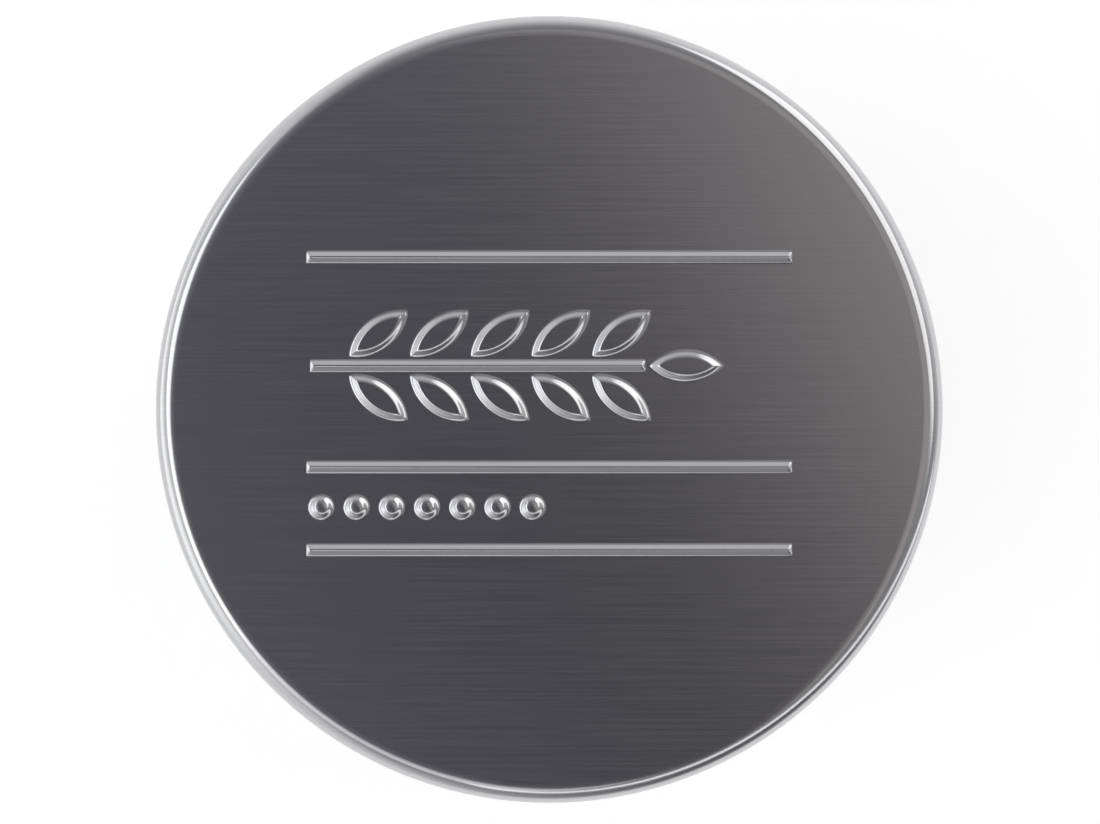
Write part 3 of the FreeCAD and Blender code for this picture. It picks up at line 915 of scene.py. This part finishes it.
# %% Silicone ring
RING_IN = 26.65
RING_FOOT = 27.5
RING_LOW, RING_HIGH = 57.55, 63.45
RING_IN_ROUND, RING_FOOT_ROUND = 0.2, 0.1
LIP_R = 28.3
LIP_MIDDLES = (58.5, 60.5, 62.5)
LIP_SHAPE = (
    (RING_FOOT, -0.6, 0.15),
    (LIP_R, -0.4, 0.13),
    (LIP_R, -0.1, 0.13),
    (RING_FOOT, 0.6, 0.25),
)
MILKY_TONES = ((0.74, 0.77, 0.78), (0.82, 0.84, 0.84))
MILKY_ROUGHNESS = (0.34, 0.46)
MILKY_GRAIN = 0.12
MILKY_SHARE = 0.35
MILKY_DEPTH = 2.0


def build_ring():
    """The ring's foot with its three lips."""
    corners = [(RING_IN, RING_LOW, RING_IN_ROUND), (RING_FOOT, RING_LOW, RING_FOOT_ROUND)]
    for middle in LIP_MIDDLES:
        corners += [(radius, middle + up, rounding) for radius, up, rounding in LIP_SHAPE]
    corners += [(RING_FOOT, RING_HIGH, RING_FOOT_ROUND), (RING_IN, RING_HIGH, RING_IN_ROUND)]
    return turn(section(corners, closed=True), SMALL_SEGMENTS)


milky_silicone, milky = moulded_material(
    "milky_silicone", MILKY_TONES, MILKY_ROUGHNESS, MILKY_GRAIN)
milky.inputs["Subsurface Weight"].default_value = MILKY_SHARE
milky.inputs["Subsurface Scale"].default_value = MILKY_DEPTH * MM
finish_piece(build_ring(), "grip_ring", milky_silicone, "neck_ring", "jar")

# %% [markdown]
# ## The glass
#
# Thick pressed glass: a heavy bottom with a hollow under it, a straight side, a shoulder and a
# grooved neck. An outer skin with a Solidify modifier could give the wall, but the real wall is
# thick at the bottom and thin at the neck. So both walls are one closed section, and the glass has
# an inside and an outside, without which it would not bend light rightly. Pressing leaves marks,
# and they are real shape here: two fine upright seams where the mould halves met, and a ring of
# small pockets under the foot that keeps the hot glass from sticking.

# %% Seams and foot pockets
BODY_R = 32.0
SEAM_WIDE = 0.3
SEAM_HIGH = 0.07
SEAM_LOW_END, SEAM_HIGH_END = 6.0, 47.0
STIPPLE = (24.0, 27.2)
STIPPLE_EDGE = 0.12
STIPPLE_DEEP = 0.25


def on_mould_joint(vert):
    """Whether a point lies on the straight side where the mould halves meet."""
    return abs(vert.co.y) < TINY and abs(abs(vert.co.x) - BODY_R * MM) < NEAR


def raise_seams(bm):
    """Splits the upright edges at the two mould joints and draws their middle out a little."""
    seam = [edge for edge in bm.edges if all(on_mould_joint(vert) for vert in edge.verts)]
    bmesh.ops.bevel(
        bm, geom=seam, offset=SEAM_WIDE / 2 * MM, offset_type="OFFSET", segments=2, profile=0.5,
        affect="EDGES", clamp_overlap=False, material=-1,
    )
    crest = [vert for vert in bm.verts
             if abs(vert.co.y) < TOUCH * MM and abs(vert.co.x) > (BODY_R - TOUCH) * MM
             and SEAM_LOW_END * MM < vert.co.z < SEAM_HIGH_END * MM]
    bmesh.ops.scale(bm, vec=((BODY_R + SEAM_HIGH) / BODY_R, 1, 1), verts=crest)
    return len(crest)


def stipple_foot(bm):
    """Presses a pocket into every second face of a ring under the foot."""
    ring = []
    for face in bm.faces:
        centre = face.calc_center_median()
        if abs(centre.z) < NEAR and STIPPLE[0] < polar(centre)[0] < STIPPLE[1]:
            ring.append(face)
    ring.sort(key=lambda face: polar(face.calc_center_median())[1])
    bmesh.ops.inset_individual(
        bm, faces=ring[::2], thickness=STIPPLE_EDGE * MM, depth=-STIPPLE_DEEP * MM,
        use_even_offset=True,
    )
    return len(ring[::2])


print(f"seams: {SEAM_HIGH} mm high, foot pockets: {STIPPLE_DEEP} mm deep")

# %% Glass body
WALL_IN = 29.2
NECK_R = 27.5
MOUTH_R = 24.6
SHOULDER = 52.0
RIM = 68.0
FLOOR_IN = 6.0
FOOT_HOLLOW, FOOT_HOLLOW_R, FOOT_HOLLOW_ROUND = 1.6, 22.5, 8
HEEL_ROUND = 4
SIDE_LOW, SIDE_HIGH = 6.5, 46.5
SHOULDER_ROUND, NECK_ROOT = 3, 1
NECK_GROOVE_R = 26.6
NECK_GROOVE_LOW, NECK_GROOVE_HIGH = 57.5, 63.5
NECK_GROOVE_EDGE, NECK_GROOVE_ROOT = 0.3, 0.25
RIM_ROUND = 1.2
THROAT_LOW, CHAMBER_TOP = 49.2, 45.2
CHAMBER_ROUND, FLOOR_ROUND = 3, 6


def build_glass():
    """Both walls in one turn, then the pockets and the seams."""
    bm = turn(section([
        (0, FOOT_HOLLOW, 0),
        (FOOT_HOLLOW_R, 0, FOOT_HOLLOW_ROUND),
        (STIPPLE[0], 0, 0),
        (STIPPLE[1], 0, 0),
        (BODY_R, 0, HEEL_ROUND),
        (BODY_R, SIDE_LOW, 0),
        (BODY_R, SIDE_HIGH, 0),
        (BODY_R, SHOULDER, SHOULDER_ROUND),
        (NECK_R, SHOULDER, NECK_ROOT),
        (NECK_R, NECK_GROOVE_LOW, NECK_GROOVE_EDGE),
        (NECK_GROOVE_R, NECK_GROOVE_LOW, NECK_GROOVE_ROOT),
        (NECK_GROOVE_R, NECK_GROOVE_HIGH, NECK_GROOVE_ROOT),
        (NECK_R, NECK_GROOVE_HIGH, NECK_GROOVE_EDGE),
        (NECK_R, RIM, RIM_ROUND),
        (MOUTH_R, RIM, RIM_ROUND),
        (MOUTH_R, THROAT_LOW, CHAMBER_ROUND),
        (WALL_IN, CHAMBER_TOP, CHAMBER_ROUND),
        (WALL_IN, FLOOR_IN, FLOOR_ROUND),
        (0, FLOOR_IN, 0),
    ]))
    pockets = stipple_foot(bm)
    crests = raise_seams(bm)
    left_open = sum(edge.is_boundary for edge in bm.edges)
    print(f"glass: {pockets} foot pockets, {crests} seam points, {left_open} edges left open")
    return bm


print(f"glass: {BODY_R - WALL_IN:.1f} mm wall, {FLOOR_IN - FOOT_HOLLOW:.1f} mm bottom")

# %% [markdown]
# ### Clear glass
#
# The shader lets all light through and bends it as soda glass does. A plain glass shader would do
# for a drawn tube, but pressed glass is never quite even. So a slow noise ripples its surface and
# changes its shine slightly, and its tint goes from nearly white to a trace of green.

# %% Glass material
GLASS_IOR = 1.52
GLASS_TONES = ((0.93, 0.975, 0.955), (0.97, 0.99, 0.98))
GLASS_ROUGHNESS = (0.0, 0.03)
RIPPLES_PER_METRE, RIPPLE_DETAIL = 45.0, 1.0
RIPPLE_STRENGTH, RIPPLE_DEPTH = 0.25, 1.0
SHINE_PER_METRE = 160.0


def build_clear_glass():
    """Clear glass with a slow ripple."""
    material, tree, shader = new_material("clear_glass")
    place = tree.nodes.new("ShaderNodeTexCoord").outputs["Object"]
    slow = noise(tree, place, RIPPLES_PER_METRE, RIPPLE_DETAIL)
    tint = blend(tree, remap(tree, slow, *NOISE_SPAN), *GLASS_TONES)
    tree.links.new(tint, shader.inputs["Base Color"])
    shine = remap(tree, noise(tree, place, SHINE_PER_METRE), *NOISE_SPAN, *GLASS_ROUGHNESS)
    tree.links.new(shine, shader.inputs["Roughness"])
    shader.inputs["Transmission Weight"].default_value = 1.0
    shader.inputs["IOR"].default_value = GLASS_IOR
    add_bump(tree, shader, slow, RIPPLE_STRENGTH, RIPPLE_DEPTH)
    return material


clear_glass = build_clear_glass()
finish_piece(build_glass(), "glass_body", clear_glass, "glass_jar", "jar")

# %% [markdown]
# ## The floor and the light
#
# A plain pale floor and four soft lamps, as for a product shot on white. The steel mirrors what
# stands round it: its bright edge is the lamps, the walls and the floor, and its dark top is the
# dim room above. One large lamp overhead would turn that top white. So each lamp stands where the
# edge shows a bright stretch: a large box on either side, a small panel in front on the left, and a
# long strip in front on the right. The lamps light the floor too, so the jar keeps a soft shadow.
# The floor also glows a little towards the lens, the metal and the glass, a bit more far away,
# which makes its white even up to the horizon.

# %% Floor
FLOOR_RADIUS, FLOOR_SEGMENTS = 6.0, 64
FLOOR_TONE = 0.55
FLOOR_ROUGHNESS = 0.9
FLOOR_GLOW = 0.635
FAR_GLOW = 0.16
FAR_FLOOR = (0.5, 1.8)
WHITE = (1.0, 1.0, 1.0)


def build_floor_material():
    """A matt pale floor that glows for rays from the lens, from metal and through glass."""
    material, tree, shader = new_material("pale_floor")
    shader.inputs["Base Color"].default_value = (FLOOR_TONE, FLOOR_TONE, FLOOR_TONE, 1.0)
    shader.inputs["Roughness"].default_value = FLOOR_ROUGHNESS
    shader.inputs["Specular IOR Level"].default_value = 0.0
    shader.inputs["Emission Color"].default_value = (*WHITE, 1.0)
    path = tree.nodes.new("ShaderNodeLightPath").outputs
    seen = arithmetic(tree, "MAXIMUM", path["Is Camera Ray"], path["Is Glossy Ray"])
    seen = arithmetic(tree, "MAXIMUM", seen, path["Is Transmission Ray"])
    reach = tree.nodes.new("ShaderNodeVectorMath")
    reach.operation = "LENGTH"
    tree.links.new(tree.nodes.new("ShaderNodeTexCoord").outputs["Object"], reach.inputs[0])
    glow = remap(tree, reach.outputs["Value"], *FAR_FLOOR, FLOOR_GLOW, FLOOR_GLOW + FAR_GLOW)
    tree.links.new(arithmetic(tree, "MULTIPLY", seen, glow), shader.inputs["Emission Strength"])
    return material


def build_floor():
    """A large round floor under the jar."""
    bm = bmesh.new()
    bmesh.ops.create_circle(bm, cap_ends=True, radius=FLOOR_RADIUS, segments=FLOOR_SEGMENTS)
    mesh = bpy.data.meshes.new("floor")
    bm.to_mesh(mesh)
    bm.free()
    mesh.materials.append(build_floor_material())
    floor = bpy.data.objects.new("floor", mesh)
    scene.collection.objects.link(floor)
    floor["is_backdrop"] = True


build_floor()
print(f"floor: {2 * FLOOR_RADIUS:.0f} m across")

# %% Lamps
AIM = Vector((0, 0, 0.07))
SOFT_BOXES = {
    "left_box": dict(azimuth=173, elevation=61, distance=0.6, size=(0.42, 0.23), roll=41,
                     glow=1.5, colour=(0.97, 0.985, 1.0)),
    "right_box": dict(azimuth=38, elevation=41, distance=0.6, size=(0.69, 0.34), roll=-43,
                      glow=1.2, colour=(1.0, 0.98, 0.955)),
    "front_panel": dict(azimuth=238, elevation=65, distance=0.6, size=(0.34, 0.24), roll=0,
                        glow=0.7, colour=WHITE),
    "front_strip": dict(azimuth=316, elevation=37, distance=0.7, size=(1.3, 0.16), roll=-37,
                        glow=1.25, colour=WHITE),
}


def add_soft_box(name, azimuth, elevation, distance, size, roll, glow, colour):
    """A rectangular lamp that faces the jar; its glow is how bright its face looks, 1 is white."""
    data = bpy.data.lights.new(name, "AREA")
    data.shape = "RECTANGLE"
    data.size, data.size_y = size
    data.energy = glow * math.pi * size[0] * size[1]
    data.color = colour
    lamp = bpy.data.objects.new(name, data)
    around, up = math.radians(azimuth), math.radians(elevation)
    level = math.cos(up)
    outward = Vector((math.cos(around) * level, math.sin(around) * level, math.sin(up)))
    facing = outward.to_track_quat("Z", "Y").to_matrix().to_4x4()
    rolled = Matrix.Rotation(math.radians(roll), 4, "Z")
    lamp.matrix_world = Matrix.Translation(AIM + outward * distance) @ facing @ rolled
    lamp.visible_camera = False
    scene.collection.objects.link(lamp)


for name, settings in SOFT_BOXES.items():
    add_soft_box(name, **settings)
    print(f"{name}: glow {settings['glow']}, {settings['elevation']} degrees up")

# %% [markdown]
# ## The room
#
# What the lamps leave dark, the room fills. Its walls are white near the floor and dim towards the
# ceiling. On the left they stay pale further up, with a bright slanting band like a window, and in
# front on the right the room is open and dim. Right above the lid it goes from cool and dark on the
# left to warm and lighter on the right, and a little lighter again at the back. That is the slow
# change of tone across the steel. An environment picture could give this too. A few ramps of the
# direction do it without any file. The lens, and what it sees through the glass, meet a plain white
# backdrop near the horizon.

# %% Directions in the room
def towards(tree, direction, side):
    """How far a direction points to one side, from -1 to 1."""
    node = tree.nodes.new("ShaderNodeVectorMath")
    node.operation = "DOT_PRODUCT"
    tree.links.new(direction, node.inputs[0])
    node.inputs[1].default_value = side
    return node.outputs["Value"]


def bearing(tree, direction, side):
    """How far a direction points to one side as seen on a plan, whatever its height."""
    flat = tree.nodes.new("ShaderNodeVectorMath")
    flat.operation = "MULTIPLY"
    tree.links.new(direction, flat.inputs[0])
    flat.inputs[1].default_value = (1.0, 1.0, 0.0)
    even = tree.nodes.new("ShaderNodeVectorMath")
    even.operation = "NORMALIZE"
    tree.links.new(flat.outputs["Vector"], even.inputs[0])
    return towards(tree, even.outputs["Vector"], side)


def ramp(tree, value, stops):
    """A colour ramp from (position, grey or colour) stops."""
    node = tree.nodes.new("ShaderNodeValToRGB")
    node.color_ramp.interpolation = "EASE"
    elements = node.color_ramp.elements
    while len(elements) < len(stops):
        elements.new(0.5)
    for element, (position, colour) in zip(elements, stops):
        shade = colour if isinstance(colour, tuple) else (colour, colour, colour)
        element.position = position
        element.color = (*shade, 1.0)
    tree.links.new(value, node.inputs["Fac"])
    return node.outputs["Color"]


print("room helpers: towards, bearing, ramp")

# %% Walls
WHITE_WALL = ((0.0, 1.0), (0.15, 0.88), (0.3, 0.78), (0.45, 0.66), (0.6, 0.5), (0.75, 0.37),
              (1.0, 0.22))
OPEN_SIDE, OPEN_SPAN = (0.643, -0.766, 0.0), (0.4, 0.9)
DIM_WALL = ((0.0, 0.5), (0.14, 0.33), (0.29, 0.18), (0.44, 0.08), (0.6, 0.1), (1.0, 0.2))
LEFT_SIDE, LEFT_SPAN = (-1.0, 0.0, 0.0), (0.45, 0.7)
PALE_WALL = ((0.0, 0.95), (0.5, 0.95), (0.75, 0.85), (0.9, 0.5), (1.0, 0.22))
WINDOW_SPAN = (0.72, 0.92)
WINDOW_TILT = 0.55
WINDOW_WALL = ((0.0, 1.5), (0.1, 1.62), (0.25, 1.65), (0.38, 1.45), (0.5, 1.1), (0.63, 0.9),
               (1.0, 0.3))


def build_walls(tree, direction, height, depth):
    """White walls, dim on the open side, and pale with a slanting window on the left."""
    openness = remap(tree, towards(tree, direction, OPEN_SIDE), *OPEN_SPAN)
    walls = blend(tree, openness, ramp(tree, height, WHITE_WALL), ramp(tree, height, DIM_WALL))
    left = bearing(tree, direction, LEFT_SIDE)
    walls = blend(tree, remap(tree, left, *LEFT_SPAN), walls, ramp(tree, height, PALE_WALL))
    tilt = arithmetic(tree, "MULTIPLY", depth, WINDOW_TILT)
    window = ramp(tree, arithmetic(tree, "ADD", height, tilt), WINDOW_WALL)
    return blend(tree, remap(tree, left, *WINDOW_SPAN), walls, window)


print(f"walls: {len(WHITE_WALL)} stops from the floor to the ceiling")

# %% Ceiling and backdrop
LIGHT_SIDE = (0.87, 0.493, 0.0)
CEILING_REACH = 0.14
CEILING_SPAN = (0.90, 0.985)
CEILING = (
    (0.0, (0.104, 0.101, 0.117)),
    (0.34, (0.091, 0.088, 0.104)),
    (0.43, (0.026, 0.025, 0.031)),
    (0.49, (0.050, 0.049, 0.059)),
    (0.56, (0.012, 0.012, 0.017)),
    (0.61, (0.036, 0.035, 0.043)),
    (0.66, (0.37, 0.351, 0.347)),
    (0.71, (0.54, 0.504, 0.489)),
    (1.0, (0.49, 0.460, 0.449)),
)
BACK_SIDE, BACK_REACH = (-0.45, 0.893, 0.0), (0.02, 0.15)
BACK_SHARE = 0.58
BACK_TONE = (0.36, 0.353, 0.385)
BACKDROP_FADE = (0.1, 0.35)


def build_room():
    """The world: walls, a ceiling right above the lid, and a white backdrop for the lens."""
    world = bpy.data.worlds.new("studio")
    world.use_nodes = True
    tree = world.node_tree
    direction = tree.nodes.new("ShaderNodeTexCoord").outputs["Generated"]
    split = tree.nodes.new("ShaderNodeSeparateXYZ")
    tree.links.new(direction, split.inputs["Vector"])
    height = split.outputs["Z"]
    walls = build_walls(tree, direction, height, split.outputs["Y"])
    across = remap(tree, towards(tree, direction, LIGHT_SIDE), -CEILING_REACH, CEILING_REACH)
    back = remap(tree, towards(tree, direction, BACK_SIDE), *BACK_REACH, 0.0, BACK_SHARE)
    ceiling = blend(tree, back, ramp(tree, across, CEILING), BACK_TONE)
    light = blend(tree, remap(tree, height, *CEILING_SPAN), walls, ceiling)
    path = tree.nodes.new("ShaderNodeLightPath").outputs
    seen = arithmetic(tree, "MAXIMUM", path["Is Camera Ray"], path["Is Transmission Ray"])
    low = remap(tree, height, *BACKDROP_FADE, 1.0, 0.0)
    light = blend(tree, arithmetic(tree, "MULTIPLY", seen, low), light, WHITE)
    tree.links.new(light, tree.nodes["Background"].inputs["Color"])
    scene.world = world


build_room()
scene.view_settings.view_transform = "Standard"
print("room:", scene.world.name, "with", len(scene.world.node_tree.nodes), "nodes")

# %% [markdown]
# ## Sizes
#
# Both boxes could be compared by eye in the viewport. Here both are gathered as numbers, and the dressed
# jar's box is printed in millimetres.

# %% Sizes
sizes = {"cad": [list(corner) for corner in cad_box], "visual": [list(corner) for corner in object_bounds()]}
print("dressed jar box:", in_mm(sizes["visual"]))
